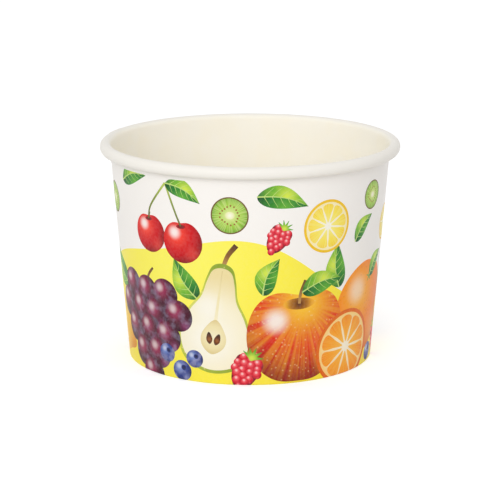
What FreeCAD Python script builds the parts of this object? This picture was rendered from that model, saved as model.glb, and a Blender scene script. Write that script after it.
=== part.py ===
import FreeCAD, Part
import math
import os

# Paper dessert cup of the 12 oz size, standing on its foot.
# Two pieces of coated board make it. The side wall is a fan-shaped blank wrapped
# into a cone, lapped at the back left, rolled outwards at the rim and folded inwards
# at the foot. The base is a disc with a skirt turned down, held inside that fold.
# The lap is pressed flat in the roll and in the fold, so it stands out between them.
# Millimetres. +Z is up and the origin is the middle of the foot, on the table.

# Overall sizes, all outside
rim_diameter = 97.0
foot_diameter = 79.3
cup_height = 71.2

# Board
wall_board = 0.42
base_board = 0.34
seal_film = 0.03  # melted coating between glued faces

# Rolled rim
roll_diameter = 3.65
roll_gap = 0.12  # between one turn of the roll and the next
roll_tuck = 60.0  # degrees that the cut edge runs on inside the roll

# Foot: the inward fold, and the base held in it
fold_inner_radius = 0.06
base_recess = 7.4  # from the table up to the underside of the base
base_bend_radius = 0.7  # inside the bend from disc to skirt
fold_clearance = 0.25  # from the fold's cut edge up to the bend

# Lapped side seam, seen from above
seam_angle = 155.0  # degrees from +X to the free edge of the outer ply
seam_lap = 7.0  # width of the glued lap, half way up
seam_ramp = 1.6  # width over which the outer ply climbs onto the inner one
seam_bite = 0.15  # how far the two plies are pressed into one


class WallFrame:
    """Places points beside the wall: s runs up its outer face from the table, n is the way out."""

    def __init__(self):
        foot_radius = foot_diameter / 2
        self.roll_radius = roll_diameter / 2
        centre = (rim_diameter / 2 - self.roll_radius, cup_height - self.roll_radius)
        across, rise = centre[0] - foot_radius, centre[1]
        stand_off = self.roll_radius - wall_board
        slope = math.atan2(across, rise) - math.asin(stand_off / math.hypot(across, rise))
        self.foot = FreeCAD.Vector(foot_radius, 0, 0)
        self.up = FreeCAD.Vector(math.sin(slope), 0, math.cos(slope))
        self.out = FreeCAD.Vector(math.cos(slope), 0, -math.sin(slope))
        self.roll_centre = FreeCAD.Vector(centre[0], 0, centre[1])
        self.roll_level = (self.roll_centre - self.foot).dot(self.up)
        self.half_step = (wall_board + roll_gap) / 2
        self.shifted_centre = self.roll_centre + self.out * self.half_step
        self.shifted_radius = self.roll_radius - self.half_step

    def at(self, s, n):
        return self.foot + self.up * s + self.out * n

    def at_height(self, z, n):
        """The point at height z on the line that lies n outside the outer face."""
        return self.at((z - n * self.out.z) / self.up.z, n)

    def around_roll(self, centre, radius, turn):
        """A point of the roll. Turn 0 faces the wall, 90 is the top, 180 is the outside."""
        a = math.radians(turn)
        return centre + (self.up * math.sin(a) - self.out * math.cos(a)) * radius


DOWN = FreeCAD.Vector(0, 0, -1)
RISE = FreeCAD.Vector(0, 0, 1)
AXIS_POINT = FreeCAD.Vector(0, 0, 0)
FULL_TURN = 360.0


def line(start, end):
    return Part.LineSegment(start, end).toShape()


def bend(centre, radius, start_way, end_way):
    """An arc about centre from one unit direction to another, less than half a turn apart."""
    middle_way = (start_way + end_way).normalize()
    points = [centre + way * radius for way in (start_way, middle_way, end_way)]
    return Part.Arc(*points).toShape()


def roll_arc(wall, centre, radius, start_turn, end_turn):
    turns = (start_turn, (start_turn + end_turn) / 2, end_turn)
    return Part.Arc(*[wall.around_roll(centre, radius, t) for t in turns]).toShape()


def chain(pieces):
    """Joins points and arcs, in order, into one closed outline with straight runs between."""
    edges, last, first = [], None, None
    for piece in pieces:
        is_point = isinstance(piece, FreeCAD.Vector)
        start = piece if is_point else piece.firstVertex(True).Point
        if last is not None and last.distanceToPoint(start) > 1e-7:
            edges.append(line(last, start))
        if not is_point:
            edges.append(piece)
        last = piece if is_point else piece.lastVertex(True).Point
        first = first or start
    if last.distanceToPoint(first) > 1e-7:
        edges.append(line(last, first))
    return Part.Face(Part.Wire(edges))


def rim_roll(wall):
    """The hidden and the visible face of the rolled rim, from the wall to the tucked edge."""
    tucked_radius = wall.shifted_radius - wall.half_step
    turns = [
        (wall.roll_centre, wall.roll_radius, 0, 180),
        (wall.shifted_centre, wall.shifted_radius, 180, 360),
        (wall.roll_centre, tucked_radius, 360, 360 + roll_tuck),
    ]
    hidden = [roll_arc(wall, c, r - wall_board, a, b) for c, r, a, b in turns]
    visible = [roll_arc(wall, c, r, b, a) for c, r, a, b in reversed(turns)]
    return hidden, visible


def foot_fold(wall):
    """The inward fold at the foot: outer bends, inner bends, and the depth of the sandwich."""
    outer = fold_inner_radius + wall_board
    depth = 2 * wall_board + base_board + 2 * seal_film
    outside = wall.at_height(outer, -outer)
    inside = wall.at_height(outer, outer - depth)
    inner_bends = [
        bend(outside, fold_inner_radius, wall.out, DOWN),
        bend(inside, fold_inner_radius, DOWN, -wall.out),
    ]
    outer_bends = [
        bend(inside, outer, -wall.out, DOWN),
        bend(outside, outer, DOWN, wall.out),
    ]
    return inner_bends, outer_bends, depth


def wall_section(wall):
    hidden_roll, visible_roll = rim_roll(wall)
    inner_bends, outer_bends, depth = foot_fold(wall)
    fold_top = base_recess - base_bend_radius - fold_clearance
    fold_edge = [
        wall.at_height(fold_top, wall_board - depth),
        wall.at_height(fold_top, wall_board - depth) - wall.out * wall_board,
    ]
    return chain([*hidden_roll, *visible_roll, *inner_bends, *fold_edge, *outer_bends])


def seam_section(wall, angle, outer_face, top, bottom):
    """The lapped ply cut through at one angle, from inside the wall to its outer face."""
    corners = [
        wall.at(bottom, -seam_bite),
        wall.at(top, -seam_bite),
        wall.at(top, outer_face),
        wall.at(bottom, outer_face),
    ]
    outline = Part.makePolygon([*corners, corners[0]])
    outline.rotate(AXIS_POINT, RISE, angle)
    return outline


def under_the_roll(wall, n):
    """How far up the wall the roll's underside is met, n outside the outer face."""
    inward = (wall.shifted_centre - wall.foot).dot(wall.out) - n
    return wall.roll_level - math.sqrt(wall.shifted_radius**2 - inward**2)


def lapped_seam(wall):
    """The outer ply over the lap, with the ramp by which it climbs onto the inner ply."""
    bottom = fold_inner_radius + wall_board
    top = under_the_roll(wall, wall_board) - seal_film
    middle_radius = wall.at((bottom + top) / 2, 0).x
    lap_turn = math.degrees(seam_lap / middle_radius)
    ramp_turn = math.degrees(seam_ramp / middle_radius)
    free_edge = Part.Face(seam_section(wall, seam_angle, wall_board, top, bottom))
    lap = free_edge.revolve(AXIS_POINT, RISE, lap_turn)
    climb = seam_angle + lap_turn
    ramp = Part.makeLoft(
        [
            seam_section(wall, climb, wall_board, top, bottom),
            seam_section(wall, climb + ramp_turn, -seal_film, top, bottom),
        ],
        True,
        True,
    )
    return [lap, ramp]


def side_wall(wall):
    cone = wall_section(wall).revolve(AXIS_POINT, RISE, FULL_TURN)
    return cone.fuse(lapped_seam(wall)).removeSplitter()


def base_disc(wall):
    outer_bend = base_bend_radius + base_board
    skirt_face = -wall_board - seal_film
    centre = wall.at_height(base_recess - base_bend_radius, skirt_face - outer_bend)
    skirt_foot = wall.at_height(wall_board + fold_inner_radius + seal_film, skirt_face)
    section = chain(
        [
            FreeCAD.Vector(0, 0, base_recess + base_board),
            bend(centre, outer_bend, RISE, wall.out),
            skirt_foot,
            skirt_foot - wall.out * base_board,
            bend(centre, base_bend_radius, wall.out, RISE),
            FreeCAD.Vector(0, 0, base_recess),
        ]
    )
    return section.revolve(AXIS_POINT, RISE, FULL_TURN)


def single_solid(shape):
    """The one solid of a shape, after checking that it is one and sound."""
    if len(shape.Solids) != 1 or not shape.isValid():
        raise ValueError(f"{len(shape.Solids)} solids, valid {shape.isValid()}")
    return shape.Solids[0]


def main():
    os.makedirs("parts", exist_ok=True)
    wall = WallFrame()
    pieces = {"side_wall": side_wall(wall), "base_disc": base_disc(wall)}
    for name, shape in pieces.items():
        solid = single_solid(shape)
        solid.exportStep(f"parts/{name}.step")
        print(name, f"{solid.Volume:.1f} mm3", solid.BoundBox)


main()
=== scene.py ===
# %% [markdown]
# # A printed paper dessert cup
# The real cup is two pieces of coated board: a fan-shaped side wall, printed while it was
# flat, and a plain base. The solids of both come with the frame. This lesson dresses them:
# the side wall gets a new skin that is drawn flat, like the real blank, and then wrapped
# round the cone, so that every printed outline is a crisp edge of the mesh. A picture
# could be laid on the wall as an image instead, but edges of the mesh stay sharp from any
# distance, and they need no file beside the scene.

# %% Load the cup's solids
import math

import bmesh
import bpy
import numpy as np
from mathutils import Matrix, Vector
from mathutils.geometry import delaunay_2d_cdt


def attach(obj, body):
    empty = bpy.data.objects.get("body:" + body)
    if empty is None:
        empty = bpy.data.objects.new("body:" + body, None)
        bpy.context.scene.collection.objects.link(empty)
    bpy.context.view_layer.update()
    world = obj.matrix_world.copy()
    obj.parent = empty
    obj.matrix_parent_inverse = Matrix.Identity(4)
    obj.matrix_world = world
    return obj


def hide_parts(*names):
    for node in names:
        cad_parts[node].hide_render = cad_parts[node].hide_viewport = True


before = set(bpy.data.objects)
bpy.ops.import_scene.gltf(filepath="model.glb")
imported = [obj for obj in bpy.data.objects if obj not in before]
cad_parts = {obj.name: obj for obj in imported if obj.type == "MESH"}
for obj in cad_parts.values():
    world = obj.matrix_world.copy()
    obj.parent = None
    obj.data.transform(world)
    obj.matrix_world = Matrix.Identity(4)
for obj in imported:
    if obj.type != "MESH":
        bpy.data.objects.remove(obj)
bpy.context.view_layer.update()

print("solids:", {name: len(node.data.polygons) for name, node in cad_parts.items()})

# %% [markdown]
# ## Sizes
# All sizes are in millimetres, and only the finished meshes are turned to metres. They
# repeat the sizes that the solids were built with. The wall leans out by a few degrees, so
# places on it are given along it and out from it. A complex number holds such a place: its
# real part is the distance from the cup's axis, and its imaginary part is the height.
# Turning and adding are then plain arithmetic.

# %% The cup's sizes and the lean of its wall
MM = 0.001
RIM_RADIUS, FOOT_RADIUS, CUP_HEIGHT = 48.5, 39.65, 71.2
WALL_BOARD, BASE_BOARD, FILM = 0.42, 0.34, 0.03
ROLL_RADIUS, ROLL_GAP = 1.825, 0.12
ROLL_TUCK = 60  # degrees that the cut edge runs on inside the roll
CREASE, FOLD_DEPTH, FOLD_HEIGHT = 0.48, 1.24, 6.45  # the bend, depth and height of the foot
BASE_RECESS, BASE_BEND = 7.4, 0.7
SEAM_ANGLE = 155  # degrees from +X to the lap's free edge
LAP, RAMP = 7.0, 1.6

roll_middle = complex(RIM_RADIUS - ROLL_RADIUS, CUP_HEIGHT - ROLL_RADIUS)
rise = roll_middle - FOOT_RADIUS
lean = math.atan2(rise.real, rise.imag) - math.asin((ROLL_RADIUS - WALL_BOARD) / abs(rise))
lean_degrees = math.degrees(lean)
OUT = np.exp(-1j * lean)
UP = 1j * OUT


# %% Places beside the wall
def beside(along, out):
    """A place given along the wall's outer face from the foot, and out from it."""
    return FOOT_RADIUS + UP * along + OUT * out


def at_height(height, out):
    """The place at a height on the line that lies a distance out from the outer face."""
    return beside((height - out * OUT.imag) / UP.imag, out)


def arc(middle, radius, start, end, steps):
    """Places round a middle. Angles are in degrees from straight outwards to upwards."""
    turn = np.radians(np.linspace(start, end, steps + 1))
    return list(middle + radius * np.exp(1j * turn))


# %% [markdown]
# ## The printed face of the blank
# Followed from its hidden edge, the printed face of the blank runs down inside the foot,
# round two creases at the table, and up the outside of the cup until it disappears into
# the rolled rim. One number, the height on the blank, finds any place on that path. It is
# zero where the outside of the cup meets the table.

# %% The path of the printed face
outer_crease = at_height(CREASE, -CREASE)
inner_crease = at_height(CREASE, CREASE - FOLD_DEPTH)
roll_level = ((roll_middle - FOOT_RADIUS) / UP).real
inner_bend = arc(inner_crease, CREASE, 180 - lean_degrees, 270, 8)
outer_bend = arc(outer_crease, CREASE, -90, -lean_degrees, 10)
face_path = [at_height(FOLD_HEIGHT, -FOLD_DEPTH), *inner_bend, *outer_bend, beside(roll_level, 0)]
face_path = np.array(face_path)
face_height = np.concatenate([[0], np.cumsum(abs(np.diff(face_path)))])
face_height -= face_height[1 + len(inner_bend)]
BLANK_LOW, BLANK_HIGH = face_height[0], face_height[-1]


def on_face(height):
    """The place beside the axis of a height on the blank."""
    return np.interp(height, face_height, face_path)


mid_radius = on_face(BLANK_HIGH / 2).real
GIRTH = 2 * math.pi * mid_radius
print(f"the blank is {GIRTH:.1f} mm round, from {BLANK_LOW:.2f} to {BLANK_HIGH:.2f} mm high")


# %% [markdown]
# ## A cup is never quite round
# Waves of about a tenth of a millimetre grow from the stiff foot to the rim, and they make
# the light run a little unevenly along the wall. They move every face of the side wall
# alike, so the board keeps its thickness. At the back left the blank laps over itself.

# %% Waves and the lap
# How many waves go round the cup, how high they are, and where they start.
WAVES = ((2, 0.10, 0.7), (3, 0.07, 2.1), (5, 0.035, 4.0), (11, 0.012, 1.2))
ROLL_COVERS = 1.3  # mm of the blank, at its top, that lie inside the roll


def smooth(value, low, high):
    """Rises gently from 0 at low to 1 at high."""
    t = np.clip((value - low) / (high - low), 0, 1)
    return t * t * (3 - 2 * t)


def waves(angle, height):
    """How far the board stands off a true cone."""
    amount = sum(size * np.sin(count * angle + phase) for count, size, phase in WAVES)
    return amount * smooth(height, 9, CUP_HEIGHT)


def lap_rise(around, height):
    """How far the outer ply lies above the inner one."""
    under_roll = BLANK_HIGH - ROLL_COVERS
    unpressed = smooth(height, 0, 0.7) * (1 - smooth(height, under_roll - 0.4, under_roll))
    return WALL_BOARD * unpressed * (1 - smooth(around, LAP, LAP + RAMP))


def in_space(around, places):
    """Wraps places beside the axis round the cup, at distances around the blank."""
    angle = math.radians(SEAM_ANGLE) + np.asarray(around) / GIRTH * 2 * math.pi
    radius = places.real + waves(angle, places.imag)
    upright = places.imag + 0 * angle
    return np.stack([radius * np.cos(angle), radius * np.sin(angle), upright], axis=-1) * MM


rim_waves = waves(np.radians(np.arange(360)), CUP_HEIGHT)
print(f"the rim stands {rim_waves.min():.2f} to {rim_waves.max():.2f} mm off a true circle")


# %% [markdown]
# ## Inks
# A printer lays one flat ink over another and blends them with fine dots. Here each
# printed shape gets three inks that blend outwards from a glow: one at its middle, one for
# the body and one at its rim. On top may lie a blush of a fourth ink and a white shine.
# Colours are written as sRGB hex values, as a design program shows them, and one function
# turns them into the linear values that Blender computes with.

# %% Colours
def ink(hex_colour):
    """The linear red, green, blue and alpha of an sRGB hex colour."""
    values = [int(hex_colour[i : i + 2], 16) / 255 for i in (1, 3, 5)]
    linear = [v / 12.92 if v <= 0.04045 else ((v + 0.055) / 1.055) ** 2.4 for v in values]
    return (*linear, 1.0)


BOARD = "#FBF7F2"
BARE = (BOARD, BOARD, BOARD)
SUNNY = ("#FFF764", "#FFF14A", "#FEE42E")
LEAF_LIGHT = ("#D6E94F", "#6DB52F", "#1E7329")
LEAF_DARK = ("#62AE33", "#237D2B", "#084A1E")
VEIN = ("#C4E07C", "#96C850", "#5FA53A")
STALK = ("#B7C95A", "#7F8F35", "#5A5A22")
WOOD = ("#C09152", "#85592A", "#4E3118")
CHERRY = ("#FF4B38", "#CF0614", "#5A020B")
GRAPE = ("#A62B58", "#4C0A29", "#170211")
APPLE = ("#FFC832", "#E0210F", "#86060E")
ORANGE = ("#FFB52B", "#FC870B", "#D45A02")
PEAR_SKIN = ("#E8E57F", "#CBD34F", "#8DA530")
PEAR_FLESH = ("#FFFCEF", "#FCF4D6", "#EFDDA2")
PEAR_CORE = ("#F8EEC9", "#F3E5B2", "#DFC98A")
SEED = ("#9A5A2A", "#5C2F12", "#331707")
LEMON_SKIN = ("#FFE04A", "#FAC61A", "#E08E06")
LEMON = {
    "rind": ("#FFF07A", "#FDDF3A", "#F2BC14"),
    "pith": ("#FFFBEA", "#FFF7DA", "#FDEDAE"),
    "flesh": ("#FFF595", "#FFE441", "#F8C41B"),
}
ORANGE_HALF = {
    "rind": ("#FFB52B", "#FA8208", "#DB5E02"),
    "pith": ("#FFF6DF", "#FFE9B8", "#FFCE6A"),
    "flesh": ("#FFC649", "#FE9C12", "#F06C04"),
}
KIWI_RIM, KIWI = ("#B59552", "#8A6A2E", "#6B4E20"), ("#E9F2A0", "#9CCB3C", "#5E9A24")
KIWI_HEART = ("#FCFBE3", "#F3F3C4", "#D9E48A")
RASPBERRY = ("#FF6F78", "#D9132F", "#7F0319")
BLUEBERRY = ("#7F97D6", "#2F3F8A", "#0E1340")
print("the board's colour is", np.round(ink(BOARD)[:3], 3), "in linear values")

# %% [markdown]
# ## A pen for the blank
# Outlines are complex numbers too, in millimetres about the middle of their motif. A pen
# remembers where the motif stands on the blank, how it is turned and how large it is. The
# cup is wider at the rim than at the foot, so the pen allows for that, and a circle on the
# flat drawing stays a circle on the wrapped cup.

# %% The pen
printed = []


def girth_at(height):
    """How long the way round is at a height, as a share of the way round the middle."""
    return on_face(np.maximum(height, 0)).real / mid_radius


class Pen:
    """Prints the shapes of one motif, each over those before it."""

    def __init__(self, x, y, turn=0.0, size=1.0, root=None):
        self.spot = complex(x, y)
        self.scale = size * np.exp(1j * math.radians(turn))
        self.root = x if root is None else root

    def at(self, place, turn=0.0, size=1.0):
        """A pen for a part of the motif, placed from the motif's own middle."""
        spot = self.spot + self.scale * place
        part = Pen(spot.real, spot.imag, root=self.root)
        part.scale = self.scale * size * np.exp(1j * math.radians(turn))
        return part

    def lay(self, outline, inks, glow=(0, 99), blush=(0, 1, BOARD, 0), shine=(0, 1, 0), **marks):
        """Each of glow, blush and shine has a middle and a reach. The marks are the skin's."""
        fades = [(self.spot + self.scale * f[0], self.scale * f[1]) for f in (glow, blush, shine)]
        printed.append(
            {
                "outline": self.spot + self.scale * np.asarray(outline),
                "root": self.root,
                "fades": fades,
                "strengths": (marks.get("fine", 1.0), blush[3], shine[2]),
                "inks": [ink(colour) for colour in (*inks, blush[2])],
                "marks": [marks.get(name, 0.0) for name in ("freckle", "streak", "bloom")],
            }
        )


# %% Outlines
STEP = 0.5  # mm between the points of an outline


def rounded(radius, *dents, squash=1.0):
    """A round outline. Each dent is an angle in degrees, a depth and a width in degrees."""
    count = max(10, int(2 * math.pi * radius / STEP))
    turn = np.linspace(-180, 180, count, endpoint=False)
    size = np.ones(count)
    for angle, depth, width in dents:
        away = (turn - angle + 180) % 360 - 180
        size -= depth * np.exp(-((away / width) ** 2))
    outline = radius * size * np.exp(1j * np.radians(turn))
    return outline.real + 1j * squash * outline.imag


def through(points, closed=True):
    """A smooth line through a few points."""
    p = np.array(points, complex)
    if not closed:
        p = np.concatenate([[2 * p[0] - p[1]], p, [2 * p[-1] - p[-2]]])
    runs = []
    for i in range(len(p)) if closed else range(1, len(p) - 2):
        a, b, c, d = p[i - 1], p[i], p[(i + 1) % len(p)], p[(i + 2) % len(p)]
        u = np.arange(max(2, int(abs(c - b) / STEP)))
        u = u / len(u)
        bend = (2 * a - 5 * b + 4 * c - d) * u**2 + (3 * b - a - 3 * c + d) * u**3
        runs.append(b + (c - a) * u / 2 + bend / 2)
    if not closed:
        runs.append([p[-2]])
    return np.concatenate(runs)


def mirrored(points):
    """The right half of an outline, from its foot to its top, with the left half added."""
    return [*points, *(-np.conj(p) for p in points[-2:0:-1])]


def band(points, start_width, end_width):
    """A band that changes its width evenly along a smooth line."""
    line = through(points, closed=False)
    way = np.gradient(line)
    side = np.linspace(start_width, end_width, len(line)) / 2 * 1j * way / abs(way)
    return np.concatenate([line + side, (line - side)[::-1]])


# %% [markdown]
# ## Leaves
# A leaf is a bowed spine with a half on each side. One half catches the light and the
# other lies in shade, which folds the leaf along its spine. Veins are narrow pale bands.

# %% A leaf
def leaf(pen, length=14.0, width=6.5, bow=1.4, veins=5):
    """A leaf that starts at the pen and is widest well before its middle."""
    x = np.linspace(0, 1, int(length / STEP))
    spine = length * x + 1j * bow * np.sin(math.pi * x)
    half = 1.7 * width * x**0.7 * (1 - x) ** 1.15
    for side, inks in ((1j, LEAF_LIGHT), (-1j, LEAF_DARK)):
        middle = length * 0.55 + side * width * 0.25
        outline = np.concatenate([spine, (spine + side * half)[::-1]])
        pen.lay(outline, inks, (middle, length * 0.5), streak=0.3, fine=3)
        for start in np.linspace(0.12, 0.72, veins):
            on_vein = start + np.array([0, 0.07, 0.15])
            base = np.interp(on_vein, x, spine)
            lift = np.interp(on_vein, x, half) * np.array([0, 0.45, 0.85]) * side
            pen.lay(band(base + lift, 0.20, 0.08), VEIN)
    pen.lay(band(spine[:: len(spine) // 6], 0.45, 0.12), VEIN)


# %% [markdown]
# ## Cherries and grapes
# Round fruit is a circle with a dent or two. Its light side faces up and to the left, and
# the shine is a small white spot there. Light that the paper throws back shows as a
# blush on the far side. Grapes carry a pale bloom, which the surface marks add.

# %% Cherries and grapes
def ball(pen, radius, inks, *dents, back, gloss=0.85, **marks):
    """A round fruit, lit from the upper left."""
    pen.lay(
        rounded(radius, *dents),
        inks,
        glow=(radius * (-0.28 + 0.32j), radius * 1.45),
        blush=(radius * (0.5 - 0.6j), radius * 0.6, back, 0.6),
        shine=(radius * (-0.36 + 0.42j), radius * 0.42, gloss),
        **marks,
    )


def cherries(pen):
    """Two cherries on one stalk, with a leaf."""
    joint = 2.0 + 15.0j
    for place, radius in ((-6.2 - 1.5j, 6.3), (6.4 - 3.2j, 6.8)):
        stalk = [place + 0.72j * radius, place * 0.75 + 8.5j, joint]
        pen.lay(band(stalk, 0.6, 0.75), STALK, (joint, 14))
        fruit = pen.at(place)
        ball(fruit, radius, CHERRY, (90, 0.13, 20), back="#F2493F")
        hollow = rounded(radius * 0.24, squash=0.4) + 0.7j * radius
        fruit.lay(hollow, ("#5E0710", "#86101A", "#B81420"), (0.75j * radius, radius * 0.24))
        pen.lay(band([*stalk[:1], (stalk[0] + stalk[1]) / 2], 0.6, 0.65), STALK, (joint, 14))
    leaf(pen.at(joint, turn=-27), length=13, width=6)


def grapes(pen, radius=4.5, rows=(3, 4, 3, 2, 1)):
    """A hanging bunch. Lower rows lie in front."""
    pen.lay(band([0, 1.5 + 5j, 4 + 8j], 1.2, 0.8), WOOD, (1j, 8))
    for row, count in enumerate(rows):
        for k in range(count):
            x = (k - (count - 1) / 2) * radius * 1.62 + 0.5 * math.sin(3 * k + 5 * row)
            y = -row * radius * 1.32 + 0.5 * math.cos(4 * k + row)
            ball(pen.at(complex(x, y)), radius, GRAPE, back="#9C3A72", gloss=0.5, bloom=0.5)


# %% [markdown]
# ## An apple, an orange and half a pear
# The apple's streaks run out from its hollow, so its glow sits there. The orange has
# pores. The pear is cut in half: skin, flesh and core are three outlines in each other,
# and a pair of seeds lies in the core.

# %% An apple, an orange and half a pear
def apple(pen, radius=15.0):
    """A whole apple, seen a little from above, so that its hollow shows."""
    hollow = 0.62j * radius
    pen.lay(
        rounded(radius, (90, 0.2, 24), (-90, 0.06, 20), (40, -0.04, 25), (140, -0.04, 25)),
        APPLE,
        glow=(hollow + 0.1 * radius, radius * 1.5),
        blush=(radius * (0.55 - 0.2j), radius * 0.5, "#FF8A3C", 0.3),
        shine=(radius * (-0.45 + 0.3j), radius * 0.34, 0.8),
        streak=0.7,
        freckle=0.35,
        fine=10,
    )
    shade = ("#5E2C0C", "#A86A1C", "#F2AE2E")
    pen.lay(rounded(radius * 0.32, squash=0.36) + hollow, shade, (hollow, 4.4))
    pen.lay(band([hollow, hollow + 0.4 + 3.5j, hollow + 2 + 7.5j], 0.9, 1.3), WOOD, (hollow, 9))
    leaf(pen.at(hollow + 0.8 + 3.6j, turn=12), length=15, width=7.5)


def orange(pen, radius=14.0):
    """A whole orange, with the star that the stalk leaves and one leaf."""
    ball(pen, radius, ORANGE, (80, 0.02, 12), back="#FFB04A", gloss=0.45, freckle=-0.7)
    top = radius * (0.12 + 0.62j)
    for k in range(5):
        point = pen.at(top, turn=72 * k + 20)
        point.lay(band([0, 1.0, 1.9], 0.9, 0.2), ("#7FA23A", "#557A28", "#3C5A20"))
    leaf(pen.at(top, turn=35), length=12, width=6)


def lemon(pen, radius=11.0):
    """A whole lemon, with a blunt point at each end."""
    ball(
        pen,
        radius,
        LEMON_SKIN,
        (0, -0.3, 16),
        (180, -0.24, 14),
        (90, 0.12, 50),
        (-90, 0.12, 50),
        back="#FFD94A",
        gloss=0.7,
        freckle=-0.35,
    )


def half_pear(pen):
    """Half a pear, with its cut face to the front."""
    right = [-11.5j, 8.5 - 8.5j, 11.5 - 1j, 9.3 + 6.5j, 5.8 + 12.5j, 4.5 + 18j, 3 + 22j, 23.2j]
    skin = through(mirrored(right))
    middle = 3j
    pen.lay(band([22j, 1 + 26j, 3 + 29.5j], 1.2, 1.6), WOOD, (22j, 8))
    pen.lay(skin, PEAR_SKIN, (-4 + 4j, 17), freckle=0.4)
    flesh = middle + (skin - middle) * 0.93
    pen.lay(flesh, PEAR_FLESH, (-1 - 1j, 19), shine=(-3 + 9j, 6, 0.5))
    pen.lay(band([4j, 12j, 21j], 1.1, 0.3), PEAR_CORE, (4j, 17))
    pen.lay(through(mirrored([-5.5j, 3.4 - 3j, 3.6 + 1j, 5.5j])), PEAR_CORE, (0, 5.5))
    drop = through([-1.9, -0.6 + 0.95j, 1.2 + 0.6j, 1.9, 1.2 - 0.6j, -0.6 - 0.95j])
    for side in (-1, 1):
        pen.at(1.25 * side - 0.6j, turn=90 - 12 * side).lay(drop, SEED, (-0.4, 1.8))


# %% [markdown]
# ## Cut citrus
# A wheel of citrus is a rind, the white pith and a ring of wedges. Each wedge keeps the
# same distance from its neighbours, so its sides run beside the spokes between wedges,
# and a smooth line through six points rounds its corners. Fine rays in the flesh come
# from the surface marks.

# %% A citrus wheel
def wheel(pen, radius, fruit, wedges=9, gap=0.35):
    """A round slice. The gap is kept on both sides of each wedge."""
    pen.lay(rounded(radius), fruit["rind"], (0, radius * 1.04), freckle=-0.4)
    pen.lay(rounded(radius * 0.9), fruit["pith"], (0, radius * 0.95))
    spread = math.tan(math.pi / wedges)
    near = complex(0.42 * radius, 0.95 * (0.42 * radius * spread - gap))
    far = complex(0.74 * radius, 0.98 * (0.74 * radius * spread - gap))
    tip, back = 0.13 * radius, 0.84 * radius
    wedge = through([tip, near.conjugate(), far.conjugate(), back, far, near])
    for k in range(wedges):
        turn = np.exp(2j * math.pi * (k + 0.3) / wedges)
        pen.lay(turn * wedge, fruit["flesh"], (0, radius), streak=0.9, fine=26)


# %% [markdown]
# ## Kiwi, raspberries and blueberries
# The kiwi's seeds are a ring of small drops round a pale heart. A raspberry is rows of
# small balls over a dark ground, under a star of narrow green leaves. A blueberry has a
# small crown.

# %% Kiwi, raspberries and blueberries
def kiwi(pen, radius=5.0, seeds=17):
    """A slice of kiwi."""
    pen.lay(rounded(radius, (30, 0.03, 60)), KIWI_RIM, (0, radius))
    pen.lay(rounded(radius * 0.93, (30, 0.03, 60)), KIWI, (0, radius), streak=0.8, fine=16)
    pen.lay(rounded(radius * 0.27, squash=0.75), KIWI_HEART, (0, radius * 0.27))
    for k in range(seeds):
        turn = np.exp(2j * math.pi * k / seeds)
        away = radius * (0.43 + 0.05 * math.sin(5 * k))
        drop = band([away, away + 0.09 * radius], 0.05 * radius, 0.1 * radius)
        pen.lay(turn * drop, SEED)


def raspberry(pen, rows=(3, 4, 4, 3, 2, 1), grain=1.25):
    """A raspberry with its tip down. Its rows of grains are counted from the top."""
    ground = through([3.9, 3.4 + 3j, 3j, -3.4 + 3j, -3.9, -2.6 - 4.6j, -6.6j, 2.6 - 4.6j])
    pen.lay(ground, ("#B01534", "#8E0A28", "#5E0519"), (0, 6))
    for row, count in enumerate(rows):
        for k in range(count):
            x = (k - (count - 1) / 2) * grain * 1.62 + 0.22 * math.sin(7 * k + 3 * row)
            y = 2.4 - row * grain * 1.32 + 0.25 * math.cos(5 * k + 2 * row)
            size = grain * (1.04 + 0.1 * math.sin(4 * k + 5 * row))
            ball(pen.at(complex(x, y)), size, RASPBERRY, back="#F04A5E", gloss=0.55)
    for turn in (20, 55, 90, 125, 160):
        sepal = pen.at(3.2j, turn=turn)
        sepal.lay(band([-0.4, 1.4, 3.2], 1.5, 0.15), LEAF_LIGHT, (0, 3.5))


def blueberry(pen, radius=3.1):
    """A blueberry with its crown turned a little to the front."""
    ball(pen, radius, BLUEBERRY, back="#7E8CCB", gloss=0.4, bloom=0.9)
    crown = pen.at(radius * (0.2 + 0.3j))
    crown.lay(rounded(radius * 0.3), ("#11153A", "#20285E", "#4C5CA6"), (0, radius * 0.3))


# %% [markdown]
# ## The layout
# The same picture is printed twice round the cup, like on most cups of this size. Behind
# it a sunny field ends in a wave, and the white board above it carries a few small
# motifs. The print stops just below the roll, and it runs on round the foot for a few
# millimetres, so that the crease needn't meet its edge exactly. All heights and distances
# below are millimetres on the blank.

# %% The picture
PRINT_TOP, BLEED = 66.2, 3.0
PICTURE = GIRTH / 2
FRONT = (270 - SEAM_ANGLE) / 360 * GIRTH
print(f"the front of the cup is {FRONT:.1f} mm round the blank from the seam")


def wave_edge(x):
    """The height of the sunny field's edge, at a distance from the middle of the picture."""
    turn = 2 * math.pi * x / PICTURE
    return 37.5 + 10.5 * np.cos(turn + 0.75) + 3.0 * np.sin(2 * turn + 0.9)


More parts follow.
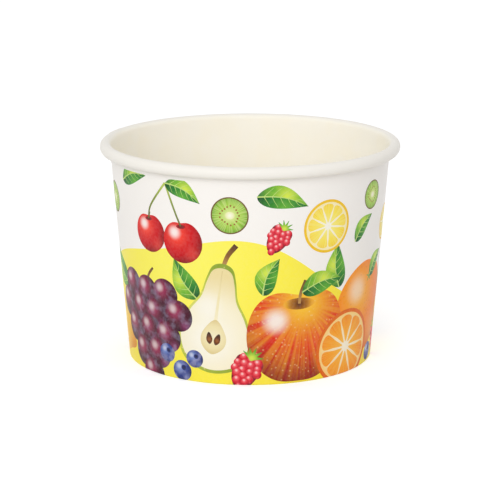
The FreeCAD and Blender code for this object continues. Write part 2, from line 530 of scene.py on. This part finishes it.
def picture(x):
    """Prints the picture with its middle at a distance round the blank."""
    leaf(Pen(x - 50, 27, turn=140), length=18, width=9)
    leaf(Pen(x + 31, 30, turn=96), length=15, width=8)
    leaf(Pen(x + 62, 22, turn=60), length=15, width=7.5)
    orange(Pen(x + 46, 21), radius=15.5)
    lemon(Pen(x - 62, 13, turn=-25))
    leaf(Pen(x - 17, 28, turn=122), length=15, width=8)
    leaf(Pen(x + 4, 30, turn=66), length=13, width=7)
    half_pear(Pen(x - 12, 16.0, turn=-9, size=1.06))
    grapes(Pen(x - 38, 28), radius=5.2)
    apple(Pen(x + 16, 16.5), radius=16.5)
    wheel(Pen(x + 36, 9.5, turn=8), 12.5, ORANGE_HALF, wedges=10, gap=0.42)
    raspberry(Pen(x - 1, 6, turn=-24, size=1.15))
    raspberry(Pen(x + 61, 8, turn=20, size=1.1))
    for place, size in ((-24 + 3.5j, 1.1), (-30 + 8.5j, 1.0), (-19 + 8j, 0.95), (53 + 4j, 1.0)):
        blueberry(Pen(x + place.real, place.imag, size=size))
    cherries(Pen(x - 28, 49.4, turn=2, size=1.02))
    wheel(Pen(x + 25, 51), 8.6, LEMON, wedges=9, gap=0.3)
    wheel(Pen(x + 60, 46), 6.0, LEMON, wedges=8, gap=0.25)
    kiwi(Pen(x - 6, 56), radius=6.0)
    kiwi(Pen(x + 45, 58), radius=4.8)
    kiwi(Pen(x - 57, 55), radius=5.2)
    leaf(Pen(x + 2, 62.0, turn=-13), length=17, width=7.5)
    leaf(Pen(x - 47, 62.5, turn=14), length=14, width=6.5)
    raspberry(Pen(x + 9, 49, turn=-30, size=0.9))
    leaf(Pen(x + 37, 44, turn=40), length=12, width=5.6)


around = np.linspace(0, GIRTH, 260)
edge_height = wave_edge(around - FRONT)
edge = FRONT + (around - FRONT) * girth_at(edge_height) + 1j * edge_height
foot_edge = FRONT + (around - FRONT) * girth_at(0) - 1j * (BLEED - 0.4)
field = np.concatenate([edge, foot_edge[::-1]])
Pen(0, 0, root=FRONT).lay(field, SUNNY, (complex(FRONT - 20, 40), 60))
for copy in (-1, 0, 1):
    picture(FRONT + copy * PICTURE)
print(len(printed), "printed shapes")


# %% [markdown]
# ## From the drawing to a mesh
# A constrained triangulation takes the grid of the blank and every outline as edges, and
# it cuts them where they cross. Each triangle then takes its inks from the topmost shape
# round its middle. A point lies inside an outline if a line from it to the right
# crosses that outline an odd number of times. The ridges that the sealing tool leaves in
# the foot need points of their own. Every other one stands a little higher, because long
# straight lines of points leave thin stray triangles.

# %% The grid of the blank
EDGE = 0.02  # mm that outlines keep from the ends of the blank
RIDGES = 222
RIDGE_SPACING, RIDGE_HEIGHT = GIRTH / RIDGES, 0.09
near_lap = [0.3, LAP - 0.6, LAP - 0.3, *np.linspace(LAP, LAP + RAMP, 9), LAP + RAMP + 0.4]
even = [x for x in np.linspace(0, GIRTH, 241) if min(abs(x - n) for n in near_lap) > 0.25]
columns = np.array(sorted([*even, *near_lap]))
fold_rows = [BLANK_LOW, BLANK_LOW + 0.3]
wall_rows = np.linspace(face_height[-2], BLANK_HIGH - 2, 61)
roll_rows = BLANK_HIGH - np.array([*np.linspace(ROLL_COVERS + 0.4, ROLL_COVERS, 5), 0.6, 0])
rows = np.concatenate([fold_rows, face_height[1:-2], wall_rows, roll_rows])
print(len(columns), "columns and", len(rows), "rows")


# %% Cut the blank along every outline
def on_blank(shape):
    """An outline as places on the blank, kept within the printed part."""
    x, y = shape["outline"].real, shape["outline"].imag
    x = shape["root"] + (x - shape["root"]) / girth_at(y)
    return np.clip(x, EDGE, GIRTH - EDGE), np.clip(y, -BLEED, PRINT_TOP)


outlines = [on_blank(shape) for shape in printed]
keep = [i for i, (x, y) in enumerate(outlines) if np.ptp(x) > EDGE and np.ptp(y) > EDGE]
printed = [printed[i] for i in keep]
outlines = [outlines[i] for i in keep]

grid_x, grid_y = np.meshgrid(columns, rows)
ridge_x, ridge_y = np.meshgrid(np.arange(1, 4 * RIDGES) * RIDGE_SPACING / 4, np.linspace(-6.2, -1.8, 6))
ridge_y += 0.1 * (np.arange(4 * RIDGES - 1) % 2)
points = [np.stack([x.ravel(), y.ravel()], axis=-1) for x, y in ((grid_x, grid_y), (ridge_x, ridge_y))]
last = sum(len(p) for p in points)
index = np.arange(grid_x.size).reshape(grid_x.shape)
cuts = []
for line in (index[0], index[-1], index[:, 0], index[:, -1]):
    cuts += list(zip(line[:-1].tolist(), line[1:].tolist()))
for x, y in outlines:
    number = np.arange(len(x)) + last
    last += len(x)
    points.append(np.stack([x, y], axis=-1))
    cuts += list(zip(number.tolist(), np.roll(number, -1).tolist()))
points = [Vector(p) for p in np.concatenate(points)]
cut = delaunay_2d_cdt(points, cuts, [], 0, 1e-5, False)
flat = np.array(cut[0])
corners = np.array(cut[2])
sides = abs(flat[corners] - flat[np.roll(corners, 1, axis=1)])
print(len(flat), "points and", len(corners), "triangles, none wider than", sides.max().round(2), "mm")


# %% Find the topmost shape of each triangle
def inside(px, py, x, y):
    """Which of the points lie inside an outline."""
    odd = np.zeros(len(px), bool)
    for x0, y0, x1, y1 in zip(x, y, np.roll(x, -1), np.roll(y, -1)):
        if y0 != y1:
            crosses = (y0 > py) != (y1 > py)
            odd ^= crosses & (px < x0 + (py - y0) * (x1 - x0) / (y1 - y0))
    return odd


middles = flat[corners].mean(axis=1)
order = np.argsort(middles[:, 0])
sorted_x = middles[order, 0]
topmost = np.full(len(corners), -1)
for number, (x, y) in enumerate(outlines):
    first, past = np.searchsorted(sorted_x, (x.min(), x.max()))
    near = order[first:past]
    near = near[(middles[near, 1] > y.min()) & (middles[near, 1] < y.max())]
    topmost[near[inside(middles[near, 0], middles[near, 1], x, y)]] = number
print((topmost >= 0).mean().round(2), "of the triangles are printed")


# %% [markdown]
# ## The rest of the side wall
# Past the top of the printed face the board curls into the roll, and its plain inside
# face shows there and down the inside of the cup. This face, with the cut edges, is one
# long path that is turned round the axis. It starts where the printed face ends, and ends
# where that began, so together they close the board. The lower half of the roll hangs
# 0.4 mm further down than in the solid, as it does in the photograph.

# %% The path of the plain face
ROLL_SAG = 0.28  # share by which the lower half of the roll is taller than a half circle
HALF_STEP = (WALL_BOARD + ROLL_GAP) / 2
BEND = CREASE - WALL_BOARD
to_wall = 180 - lean_degrees


def roll(inset, steps):
    """The roll from the wall to its tucked edge, a distance under the roll's skin."""
    shifted = roll_middle + OUT * HALF_STEP
    turns = ((roll_middle, 0, 180), (shifted, 180, 360), (roll_middle, 360, 360 + ROLL_TUCK))
    path = []
    for number, (middle, start, end) in enumerate(turns):
        radius = ROLL_RADIUS - number * HALF_STEP - inset
        path = path[:-1] + arc(middle, radius, to_wall - start, to_wall - end, steps[number])
    below = [min(place.imag - roll_middle.imag, 0) for place in path]
    return [place + 1j * ROLL_SAG * drop for place, drop in zip(path, below)]


hidden = roll(WALL_BOARD, (6, 6, 3))
skin = roll(0, (14, 14, 4))[::-1]
inner_wall = [beside(s, -WALL_BOARD) for s in np.linspace(roll_level, CREASE, 30)[1:]]
outer_fold = arc(outer_crease, BEND, -lean_degrees, -90, 3)
inner_fold = arc(inner_crease, BEND, 270, to_wall, 3)
fold_edge = [at_height(FOLD_HEIGHT, out) for out in (WALL_BOARD - FOLD_DEPTH, -FOLD_DEPTH)]
plain_path = np.array(hidden + skin + inner_wall + outer_fold + inner_fold + fold_edge)
cut_edges = (len(hidden) - 1, len(plain_path) - 2)
print(len(plain_path), "places on the plain face")

# %% [markdown]
# ## Wrap the blank round the cone
# The roll is a little thicker over the lap, and inside the cup the edge of the inner ply
# shows as a fine upright line. The tool that seals the foot leaves upright ridges on the
# turned-in edge. All of it is real shape, so it also shows in the mesh itself.

# %% The two faces in space
ROLL_SWELL = 0.12  # mm that the roll is thicker over the lap
PLY_LINE = 0.10  # mm that the inner ply's edge shows inside the cup


def ridges(around, height):
    """How far the sealing tool's ridges stand in from the turned-in edge."""
    sealed = smooth(-height, 1.8, 2.4) * (1 - smooth(-height, 6.4, 7.0))
    return RIDGE_HEIGHT * sealed * np.sin(2 * math.pi * around / RIDGE_SPACING)


over_lap = ROLL_SWELL * smooth(columns, 0, 0.8) * (1 - smooth(columns, LAP, LAP + RAMP))
ply_line = PLY_LINE * np.clip(1 - abs(columns - LAP - 0.6) / 0.2, 0, 1)
swell_way = np.zeros(len(plain_path), complex)
from_middle = np.array(skin) - roll_middle
on_top = smooth(from_middle.real, -1.2, 0)
swell_way[len(hidden) : len(hidden) + len(skin)] = from_middle / abs(from_middle) * on_top
line_way = np.zeros(len(plain_path), complex)
line_way[len(hidden) + len(skin) :][: len(inner_wall)] = OUT
push = over_lap[:, None] * swell_way + ply_line[:, None] * line_way
plain = in_space(columns[:, None], plain_path + push)

lift = lap_rise(flat[:, 0], flat[:, 1]) - ridges(flat[:, 0], flat[:, 1])
sheet = in_space(flat[:, 0], on_face(flat[:, 1]) + OUT * lift)
lap_edge = np.stack(
    [in_space(GIRTH, on_face(rows)), in_space(0, on_face(rows) + OUT * lap_rise(0, rows))], axis=0
)
print("the roll is", np.ptp(np.array(skin).real).round(2), "mm wide")


# %% Join them to one mesh
def net(points, first):
    """The four-sided faces of a net of points, as numbers that start at first."""
    number = np.arange(points.shape[0] * points.shape[1]).reshape(points.shape[:2]) + first
    sides = [number[:-1, :-1], number[1:, :-1], number[1:, 1:], number[:-1, 1:]]
    return np.stack(sides, axis=-1).reshape(-1, 4)


def new_piece(name, points, faces, materials, finishes, stands_for):
    """A smooth piece with sharp cut edges, in place of a solid of the frame."""
    mesh = bpy.data.meshes.new(name)
    mesh.from_pydata(np.concatenate(points).tolist(), [], [f.tolist() for group in faces for f in group])
    for material in materials:
        mesh.materials.append(material)
    mesh.polygons.foreach_set("material_index", np.concatenate(finishes).astype(np.int32))
    mesh.polygons.foreach_set("use_smooth", np.ones(len(mesh.polygons), bool))
    piece = bpy.data.objects.new(name, mesh)
    bpy.context.scene.collection.objects.link(piece)
    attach(piece, "root")
    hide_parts(stands_for)
    return piece


def weld(piece, distance=0.002 * MM, sharp=40):
    """Joins points that lie together, and marks the sharp edges."""
    work = bmesh.new()
    work.from_mesh(piece.data)
    bmesh.ops.remove_doubles(work, verts=work.verts, dist=distance)
    bmesh.ops.dissolve_degenerate(work, edges=work.edges, dist=distance / 4)
    loose = [v for v in work.verts if not v.link_faces]
    bmesh.ops.delete(work, geom=loose, context="VERTS")
    open_edges = sum(not edge.is_manifold for edge in work.edges)
    work.to_mesh(piece.data)
    work.free()
    piece.data.set_sharp_from_angle(angle=math.radians(sharp))
    print(piece.name, len(piece.data.polygons), "faces,", open_edges, "open edges")


# %% [markdown]
# ## A helper for materials
# A material is a small network of nodes. One function adds a node with its settings and
# links, so that each finish below reads as a list of what it is made of. Patterns take the
# object's own coordinates in millimetres, so a scale of 1 / 4 makes clouds 4 mm across.
# The film on the board is polyethylene, with an IOR of about 1.5 and a roughness of 0.4
# or so on paper. Fibres keep it from lying quite flat, so its gloss is set lower than that
# of a clear sheet, as the photograph shows. Their size is given with each finish.

# %% Nodes
CLOUD = 4.0  # mm across a patch where the film is a little more or less glossy


def add(tree, kind, inputs=None, **settings):
    """Adds a node and returns its outputs. Its inputs are values, or outputs of other nodes."""
    node = tree.nodes.new("ShaderNode" + kind)
    for name, value in settings.items():
        setattr(node, name, value)
    for name, value in (inputs or {}).items():
        if isinstance(value, bpy.types.NodeSocket):
            tree.links.new(value, node.inputs[name])
        else:
            node.inputs[name].default_value = value
    return node.outputs


def new_finish(name):
    """An empty material, its node tree and the object's coordinates in millimetres."""
    material = bpy.data.materials.new(name)
    material.use_nodes = True
    tree = material.node_tree
    tree.nodes.clear()
    place = add(tree, "TexCoord")["Object"]
    in_mm = add(tree, "VectorMath", {0: place, 1: (1000, 1000, 1000)}, operation="MULTIPLY")
    return material, tree, in_mm[0]


def layered(tree, colour, *layers):
    """Lays inks over a colour. A layer is an ink and the values whose product is its strength.

    A value that fades is a pattern, where its fade starts and ends, and its strength at both.
    """
    for over, *values in layers:
        strength = 1.0
        for value in values:
            if isinstance(value, tuple):
                fade = dict(zip(("Value", "From Min", "From Max", "To Min", "To Max"), value))
                value = add(tree, "MapRange", fade, interpolation_type="SMOOTHSTEP")[0]
            strength = add(tree, "Math", {0: strength, 1: value}, operation="MULTIPLY")[0]
        colour = add(tree, "Mix", {0: strength, 6: colour, 7: over}, data_type="RGBA")[2]
    return colour


def coated(tree, place, colour, roughness, coat, fibre, relief):
    """Coated board: a body of fibres of a size and relief in mm, under a thin smooth layer."""
    fibres = add(tree, "TexNoise", {"Vector": place, "Scale": 1 / fibre, "Detail": 3.0})[0]
    bump = add(tree, "Bump", {"Height": fibres, "Distance": relief * MM, "Strength": 1.0})[0]
    cloud = add(tree, "TexNoise", {"Vector": place, "Scale": 1 / CLOUD})[0]
    spread = {"Value": cloud, "From Min": 0.3, "From Max": 0.7}
    spread |= {"To Min": roughness - 0.04, "To Max": roughness + 0.04}
    inputs = {
        "Base Color": colour,
        "Roughness": add(tree, "MapRange", spread)[0],
        "IOR": 1.45,
        "Specular IOR Level": 0.2,
        "Coat Weight": coat,
        "Coat Roughness": 0.22,
        "Normal": bump,
    }
    shader = add(tree, "BsdfPrincipled", inputs)[0]
    add(tree, "OutputMaterial", {"Surface": shader})


# %% [markdown]
# ## Printed board
# Cup board is bleached paper with a thin film of polyethylene over the print, which gives
# it a soft gloss. The inks come from the mesh. The glow, the blush and the shine of each
# shape arrive as places measured from their middles, so their lengths are the distances
# to blend by. Streaks are a pattern that changes only with the direction from the glow's
# middle, so they run out from it like the streaks of an apple or the rays of an orange.

# %% The printed finish
PORE_SPACING = 1.5  # mm between the pores of a peel, as the picture's scale makes them
POWDER = 2.6  # mm across a patch of bloom on a grape
MOTTLE = 0.9  # mm across a spot where the ink lies thinner
MARKS = ["glow", "blush", "shine", "marks", "ink_light", "ink_body", "ink_dark", "ink_blush"]
FADE_MARKS, INK_MARKS = MARKS[:3], MARKS[4:]


def printed_board():
    """The printed side of the board. Its inks and the places of its fades are on the mesh."""
    material, tree, place = new_finish("printed cup board")
    marks = {name: add(tree, "Attribute", attribute_name=name) for name in MARKS}
    light, body, dark, thrown_back = [marks[name]["Color"] for name in INK_MARKS]
    freckle, streak, bloom = add(tree, "SeparateXYZ", {0: marks["marks"]["Vector"]})
    way, reach, amount = {}, {}, {}
    for name in FADE_MARKS:
        x, y, amount[name] = add(tree, "SeparateXYZ", {0: marks[name]["Vector"]})
        way[name] = add(tree, "CombineXYZ", {0: x, 1: y})[0]
        reach[name] = add(tree, "VectorMath", {0: way[name]}, operation="LENGTH")["Value"]

    outwards = add(tree, "VectorMath", {0: way["glow"]}, operation="NORMALIZE")[0]
    rays = add(tree, "VectorMath", {0: outwards, "Scale": amount["glow"]}, operation="SCALE")[0]
    ray = add(tree, "TexNoise", {"Vector": rays, "Scale": 1.0, "Detail": 3.0})[0]
    pores = {"Vector": place, "Scale": 1 / PORE_SPACING, "Randomness": 0.9}
    pore = (add(tree, "TexVoronoi", pores)["Distance"], 0.10, 0.26, 1.0, 0.0)
    powder = add(tree, "TexNoise", {"Vector": place, "Scale": 1 / POWDER})[0]
    mottle = add(tree, "TexNoise", {"Vector": place, "Scale": 1 / MOTTLE})[0]
    near, far = (reach["glow"], 0.1, 0.5), (reach["glow"], 0.75, 1.1, 1.0, 0.25)
    colour = layered(
        tree,
        light,
        (body, (reach["glow"], 0.0, 0.62)),
        (dark, (reach["glow"], 0.52, 1.12)),
        (light, 0.55, streak, (ray, 0.38, 0.62), near, far),
        (ink("#FFE9A8"), freckle, pore),
        (ink("#C4560A"), -0.45, freckle, pore),
        (thrown_back, amount["blush"], (reach["blush"], 0.0, 1.0, 1.0, 0.0)),
        (ink("#B9B7DA"), 0.5, bloom, (powder, 0.42, 0.72)),
        (ink("#FFFDF8"), amount["shine"], (reach["shine"], 0.15, 1.0, 1.0, 0.0)),
        (ink(BOARD), (mottle, 0.3, 0.7, 0.0, 0.03)),
    )
    coated(tree, place, colour, roughness=0.42, coat=0.08, fibre=0.7, relief=0.008)
    return material


# %% [markdown]
# ## Plain board
# The inside of the cup and the roll show the plain side of the board, which is a little
# creamier than the printed side. The roll is painted a shade greyer than the inside: this is
# painted shade, which keeps the brightly lit roll from turning white. A cut edge has no film
# on it, so it's matt and rougher. The base is made from a thinner board of the same kind,
# and its underside shows more fibre.

# %% The plain finishes
TINT = 7.0  # mm across a patch that is a little creamier
FLECK = 0.5  # mm across a darker fibre


def plain_board(name, light, dark, roughness, coat, fibre, relief, painted_roll_shade=None):
    """Unprinted board. On the roll at the rim it takes a greyer tint, which is painted shade."""
    material, tree, place = new_finish(name)
    cloud = add(tree, "TexNoise", {"Vector": place, "Scale": 1 / TINT})[0]
    fleck = add(tree, "TexNoise", {"Vector": place, "Scale": 1 / FLECK, "Detail": 4.0})[0]
    layers = [(ink(dark), (cloud, 0.3, 0.7)), (ink("#D9CBAE"), (fleck, 0.64, 0.78, 0.0, 0.08))]
    if painted_roll_shade:
        # painted shade: the roll, near the rim, takes a greyer tint than the inside
        across = add(tree, "VectorMath", {0: place, 1: (1, 1, 0)}, operation="MULTIPLY")[0]
        radius = add(tree, "VectorMath", {0: across}, operation="LENGTH")["Value"]
        layers.append((ink(painted_roll_shade), (radius, RIM_RADIUS - 3.7, RIM_RADIUS - 2.3)))
    colour = layered(tree, ink(light), *layers)
    coated(tree, place, colour, roughness, coat, fibre, relief)
    return material


finishes = {
    "print": printed_board(),
    "inside": plain_board(
        # the roll's greyer tint is painted shade
        "film-coated cup board", "#FFFBF0", "#FFFAEC", 0.42, 0.05, 1.1, 0.008, painted_roll_shade="#F6F2EA"
    ),
    "cut": plain_board("cut edge of cup board", "#F1E8D4", "#E4D7BC", 0.8, 0.0, 0.25, 0.05),
    "base": plain_board("base board", "#FFFBF1", "#FDF9EC", 0.46, 0.06, 1.4, 0.010),
}
print("finishes:", [material.name for material in finishes.values()])

# %% [markdown]
# ## The side wall
# The printed triangles, the net of the plain face and the strip at the lap's free edge
# are joined into one closed piece, which takes the place of the frame's plain wall. The
# inks then go onto its faces, and the fades onto their corners, in the order of the faces.
# Bare board between the motifs is one more shape, with its own colour for every ink.

# %% Make the side wall
plain_faces = net(plain, len(flat))
lap_faces = net(lap_edge, len(flat) + plain[..., 0].size)
is_cut = np.isin(np.arange(len(plain_faces)) % (len(plain_path) - 1), cut_edges)
side_wall = new_piece(
    "printed_side_wall",
    points=[sheet, plain.reshape(-1, 3), lap_edge.reshape(-1, 3)],
    faces=[corners, plain_faces, lap_faces],
    materials=[finishes["print"], finishes["inside"], finishes["cut"]],
    finishes=[np.zeros(len(corners)), 1 + is_cut, np.full(len(lap_faces), 2)],
    stands_for="side_wall",
)


# %% Put the inks on it
def put(mesh, name, kind, domain, values):
    """Writes values for the printed triangles, and zeros for the faces after them."""
    layer = mesh.attributes.new(name, kind, domain)
    width = values.shape[-1]
    everything = np.zeros((len(layer.data), width), np.float32)
    everything[: values.size // width] = values.reshape(-1, width)
    layer.data.foreach_set("color" if kind == "FLOAT_COLOR" else "vector", everything.ravel())


Pen(0, 0).lay([0], BARE)
shape_of = np.where(topmost < 0, len(printed) - 1, topmost)
roots = np.array([shape["root"] for shape in printed], float)[shape_of]
fades = np.array([shape["fades"] for shape in printed])[shape_of]
strengths = np.array([shape["strengths"] for shape in printed], float)[shape_of]
a, t = flat[corners][..., 0], flat[corners][..., 1]
drawn = roots[:, None] + (a - roots[:, None]) * girth_at(t) + 1j * t
for k, name in enumerate(FADE_MARKS):
    place = (drawn - fades[:, None, k, 0]) / fades[:, None, k, 1]
    third = np.repeat(strengths[:, k, None], 3, axis=1)
    values = np.stack([place.real, place.imag, third], axis=-1)
    put(side_wall.data, name, "FLOAT_VECTOR", "CORNER", values)
inks = np.array([shape["inks"] for shape in printed])[shape_of]
for k, name in enumerate(INK_MARKS):
    put(side_wall.data, name, "FLOAT_COLOR", "FACE", inks[:, k])
skin_marks = np.array([shape["marks"] for shape in printed], float)[shape_of]
put(side_wall.data, "marks", "FLOAT_VECTOR", "FACE", skin_marks)


# %% Lay it out flat
# The printed face fills the lower part of the layout, the plain face lies above it, and
# the strip at the lap's free edge lies at the very top.
def share(values, low, high):
    """Values as shares of their range, fitted between low and high."""
    values = np.asarray(values, float)
    return low + (values - values.min()) / np.ptp(values) * (high - low)


plain_length = np.concatenate([[0], np.cumsum(abs(np.diff(plain_path)))])
number = plain_faces - len(flat)
step = lap_faces - len(flat) - plain[..., 0].size
flat_layout = [
    np.stack([share(a, 0.005, 0.995), share(t, 0.01, 0.60)], axis=-1).reshape(-1, 2),
    np.stack(
        [
            share(columns, 0.005, 0.995)[number // len(plain_path)],
            share(plain_length, 0.61, 0.97)[number % len(plain_path)],
        ],
        axis=-1,
    ).reshape(-1, 2),
    np.stack(
        [share(rows, 0.005, 0.995)[step % len(rows)], share([0, 1], 0.98, 0.99)[step // len(rows)]],
        axis=-1,
    ).reshape(-1, 2),
]
layout = side_wall.data.uv_layers.new(name="OFBake")
layout.uv.foreach_set("vector", np.concatenate(flat_layout).astype(np.float32).ravel())
weld(side_wall)
print("the layout fills", np.ptp(np.concatenate(flat_layout), axis=0).round(2))

# %% [markdown]
# ## The base
# The base is a disc of thinner board. A press turns its edge down into a skirt and leaves
# a slight crown in the middle, inside a shallow ring. It is a lathe shape: one outline
# turned round the axis, over the top, down the skirt and back along the underside.

# %% The base
CROWN, RING = 0.30, 0.16  # mm that the press lifts the middle, and what the ring encloses
RING_INSIDE, RING_OUTSIDE = 32.4, 33.4


def pressed(radius):
    """How far the press lifts the disc at a distance from the axis."""
    inside_ring = 1 - smooth(radius, RING_INSIDE, RING_OUTSIDE)
    return CROWN * (1 - smooth(radius, 2, 33)) + RING * inside_ring


skirt_face = -WALL_BOARD - FILM
base_crease = at_height(BASE_RECESS - BASE_BEND, skirt_face - BASE_BEND - BASE_BOARD)
skirt_foot = [at_height(WALL_BOARD + 0.09, n) for n in (skirt_face - BASE_BOARD, skirt_face)]
ring = np.linspace(RING_INSIDE, RING_OUTSIDE, 6)
across = np.concatenate([np.linspace(0.4, 32.2, 24), ring, [35.0]])
under = across + 1j * (BASE_RECESS + pressed(across))
over = under[::-1] + 1j * BASE_BOARD
bend_in = arc(base_crease, BASE_BEND, 90, -lean_degrees, 6)
bend_out = arc(base_crease, BASE_BEND + BASE_BOARD, -lean_degrees, 90, 8)
base_path = np.array([*under, *bend_in, *skirt_foot, *bend_out, *over])
turns = np.linspace(0, GIRTH, 193)
disc = in_space(turns[:, None], np.repeat(base_path[None], len(turns), axis=0))
disc_faces = net(disc, 0)
inmost = len(base_path) * np.arange(len(turns) - 1)
caps = [np.array([inmost[::-1]]), np.array([inmost + len(base_path) - 1])]
base = new_piece(
    "base_board",
    points=[disc.reshape(-1, 3)],
    faces=[disc_faces, *caps],
    materials=[finishes["base"]],
    finishes=[np.zeros(len(disc_faces) + len(caps))],
    stands_for="base_disc",
)
weld(base)

# %% [markdown]
# ## Floor, light and camera
# The photograph is a studio picture on pure white. The floor and the world are white for
# the camera and for reflections, while the light on the cup stays plain. A large soft
# lamp stands a little to the left of the camera, as in the photograph, where the right
# side of the cup is a shade darker. The floor throws light back, which keeps the underside
# of the roll bright. It is a pale grey one for that light, because a white one would make
# the wall brighter than the inside of the cup, and a lift makes it white for the camera.

# %% Floor
FLOOR_LIFT = 0.48  # added for the camera and reflections only
FLOOR_RADIUS = 4.0  # metres


def shown(tree):
    """1 for rays from the camera, from gloss and through glass, and 0 for the light's own."""
    path = add(tree, "LightPath")
    either = path["Is Camera Ray"]
    for kind in ("Is Glossy Ray", "Is Transmission Ray"):
        either = add(tree, "Math", {0: either, 1: path[kind]}, operation="MAXIMUM")[0]
    return either


def white_floor():
    """A floor that shows as white where nothing shades it."""
    material = bpy.data.materials.new("white studio floor")
    material.use_nodes = True
    tree = material.node_tree
    tree.nodes.clear()
    paint = add(tree, "BsdfDiffuse", {"Color": ink("#E6E6E6")})[0]
    strength = add(tree, "Math", {0: shown(tree), 1: FLOOR_LIFT}, operation="MULTIPLY")[0]
    lift = add(tree, "Emission", {"Color": ink("#FFFFFF"), "Strength": strength})[0]
    both = add(tree, "AddShader", {0: paint, 1: lift})[0]
    add(tree, "OutputMaterial", {"Surface": both})
    return material


mesh = bpy.data.meshes.new("floor")
turn = np.linspace(0, 2 * math.pi, 96, endpoint=False)
rim = np.stack([FLOOR_RADIUS * np.cos(turn), FLOOR_RADIUS * np.sin(turn), 0 * turn], axis=-1)
mesh.from_pydata(rim.tolist(), [], [list(range(len(turn)))])
mesh.materials.append(white_floor())
floor = bpy.data.objects.new("floor", mesh)
bpy.context.scene.collection.objects.link(floor)
print("the floor is", 2 * FLOOR_RADIUS, "m across")

# %% World and lamp
WORLD_LIGHT = 0.71  # the sky's strength for the light on the cup
world = bpy.data.worlds.new("white studio")
bpy.context.scene.world = world
world.use_nodes = True
tree = world.node_tree
tree.nodes.clear()
strength = add(tree, "MapRange", {"Value": shown(tree), "To Min": WORLD_LIGHT, "To Max": 1.0})[0]
sky = add(tree, "Background", {"Color": ink("#FFFFFF"), "Strength": strength})[0]
add(tree, "OutputWorld", {"Surface": sky})

KEY_PLACE, KEY_ACROSS = (-0.29, -1.14, 0.59), 0.8  # metres
KEY_WATTS = 5.6
key = bpy.data.objects.new("key lamp", bpy.data.lights.new("key lamp", "AREA"))
key.data.shape = "DISK"
key.data.size = KEY_ACROSS
key.data.energy = KEY_WATTS
key.location = KEY_PLACE
aim = Vector((0, 0, CUP_HEIGHT / 2 * MM)) - key.location
key.rotation_euler = aim.to_track_quat("-Z", "Y").to_euler()
bpy.context.scene.collection.objects.link(key)
print("the key lamp stands", round(aim.length, 2), "m away")

# %% Camera
ELEVATION, DISTANCE = 13.59, 0.740  # degrees, and metres from the middle of the cup
LENS, LOWER = 162.8, 1.40  # mm; the second is how far the camera is lowered
camera = bpy.data.objects.new("camera", bpy.data.cameras.new("camera"))
camera.data.lens = LENS
camera.data.sensor_width = 36.0
camera.data.clip_start = 0.05
tilt = math.radians(ELEVATION)
away = Vector((0, -math.cos(tilt), math.sin(tilt)))
above = Vector((0, math.sin(tilt), math.cos(tilt)))
middle = Vector((0, 0, CUP_HEIGHT / 2 * MM))
camera.location = middle + away * DISTANCE - above * LOWER * MM
camera.rotation_euler = (-away).to_track_quat("-Z", "Y").to_euler()
bpy.context.scene.collection.objects.link(camera)
bpy.context.scene.camera = camera
bpy.context.scene.view_settings.view_transform = "Standard"
print("the camera looks down by", ELEVATION, "degrees from", DISTANCE, "m")
